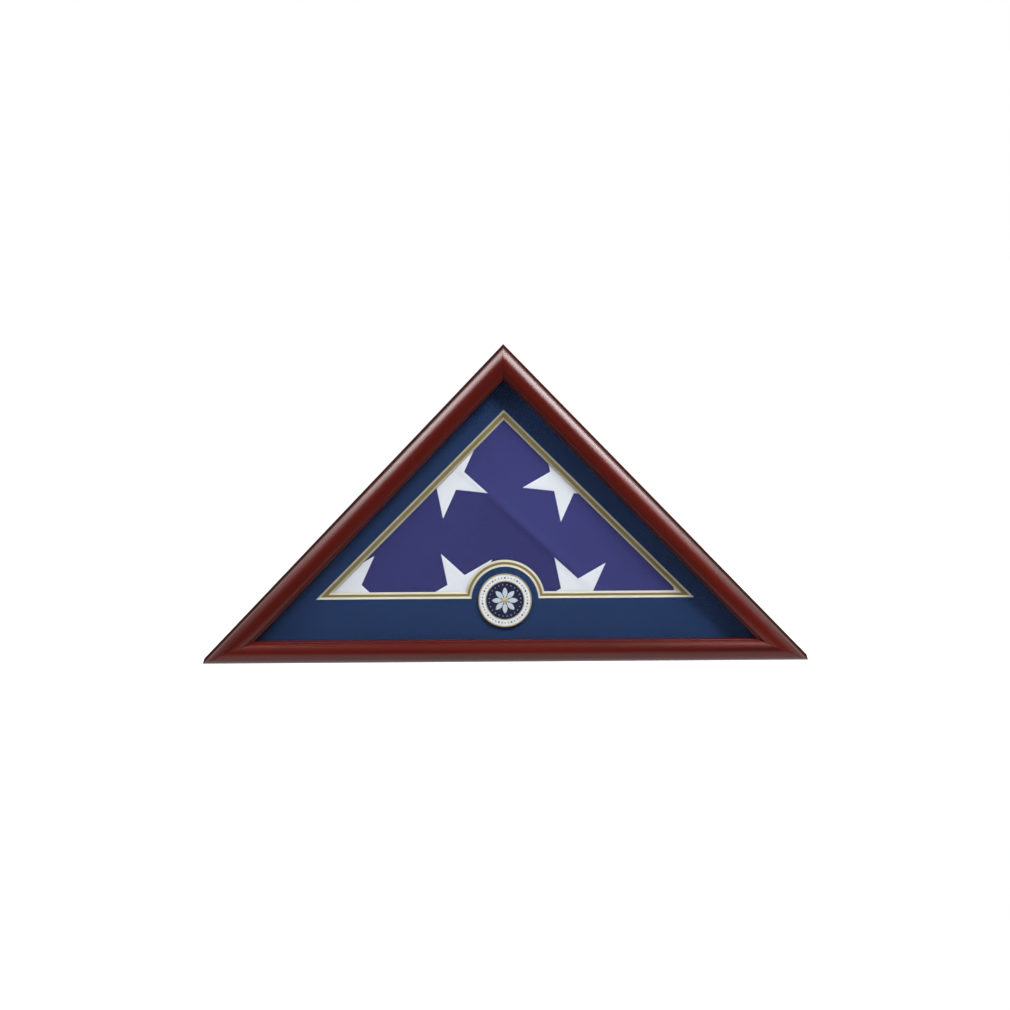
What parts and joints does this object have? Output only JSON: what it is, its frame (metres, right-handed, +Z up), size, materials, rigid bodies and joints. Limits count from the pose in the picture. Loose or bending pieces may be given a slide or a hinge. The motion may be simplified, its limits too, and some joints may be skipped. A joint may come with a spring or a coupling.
{
  "type": "folded flag display case",
  "caption": "Triangular wooden shadow box on its long side: glazed rounded moulding, double mat with a medallion tab, folded flag inside and a lift-off back under turn buttons.",
  "frame": {"origin": "middle of the face that the case stands on, halfway through the wooden case's depth", "axes": "+Z up to the apex, +X along the long side to the viewer's right, +Y from the glass to the back"},
  "size_m": [0.648, 0.093, 0.3365],
  "materials": {
    "mahogany_finish": "gloss stain",
    "raw_hardwood": "unfinished",
    "glass": "clear",
    "navy_mat": "matt paper face",
    "gold_mat": "satin metallic paper face",
    "spacer": "matt",
    "antique_gold": "polished and toned",
    "white_enamel": "gloss",
    "navy_enamel": "gloss",
    "silver_relief": "satin silver",
    "foam_tape": "matt",
    "flag_cloth": "woven",
    "back_board": "dark hardboard",
    "nickel": "nickel plate",
    "zinc": "zinc plate",
    "brass": "brass plate"
  },
  "bodies": {
    "case": {"left_moulding": "mahogany_finish", "left_box_board": "mahogany_finish", "left_spacer": "spacer", "right_moulding": "mahogany_finish", "right_box_board": "mahogany_finish", "right_spacer": "spacer", "bottom_moulding": "mahogany_finish", "bottom_box_board": "mahogany_finish", "bottom_spacer": "spacer", "moulding_tongues": "raw_hardwood", "box_tongues": "raw_hardwood", "frame_dowels": "raw_hardwood", "glass_pane": "glass", "navy_mat": "navy_mat", "gold_mat": "gold_mat", "medallion_disc": "antique_gold", "medallion_ring": "white_enamel", "medallion_centre": "navy_enamel", "medallion_rosette": "silver_relief", "medallion_pad": "foam_tape", "folded_flag": "flag_cloth", "back_tip": "back_board", "apex_block": "raw_hardwood", "turn_button_screws": "zinc", "sawtooth_hanger": "brass", "hanger_nails": "brass"},
    "back_panel": {"back_panel": "back_board"},
    "turn_button_left_a": {"turn_button_left_a": "nickel"},
    "turn_button_left_b": {"turn_button_left_b": "nickel"},
    "turn_button_right_a": {"turn_button_right_a": "nickel"},
    "turn_button_right_b": {"turn_button_right_b": "nickel"},
    "turn_button_bottom_a": {"turn_button_bottom_a": "nickel"},
    "turn_button_bottom_b": {"turn_button_bottom_b": "nickel"}
  },
  "joints": [
    {"name": "back_panel_lift", "type": "slide", "parent": "case", "child": "back_panel", "axis": [0, 1, 0], "range_m": [0, 0.12]},
    {"name": "turn_button_left_a_turn", "type": "hinge", "parent": "case", "child": "turn_button_left_a", "pos_m": [-0.0821, 0.0455, 0.24402], "axis": [0, -1, 0], "range_deg": [0, 90]},
    {"name": "turn_button_left_b_turn", "type": "hinge", "parent": "case", "child": "turn_button_left_b", "pos_m": [-0.23469, 0.0455, 0.08554], "axis": [0, -1, 0], "range_deg": [0, 90]},
    {"name": "turn_button_right_a_turn", "type": "hinge", "parent": "case", "child": "turn_button_right_a", "pos_m": [0.23469, 0.0455, 0.08554], "axis": [0, 1, 0], "range_deg": [0, 90]},
    {"name": "turn_button_right_b_turn", "type": "hinge", "parent": "case", "child": "turn_button_right_b", "pos_m": [0.0821, 0.0455, 0.24402], "axis": [0, 1, 0], "range_deg": [0, 90]},
    {"name": "turn_button_bottom_a_turn", "type": "hinge", "parent": "case", "child": "turn_button_bottom_a", "pos_m": [-0.17, 0.0455, 0.005], "axis": [0, -1, 0], "range_deg": [0, 90]},
    {"name": "turn_button_bottom_b_turn", "type": "hinge", "parent": "case", "child": "turn_button_bottom_b", "pos_m": [0.17, 0.0455, 0.005], "axis": [0, 1, 0], "range_deg": [0, 90]}
  ]
}
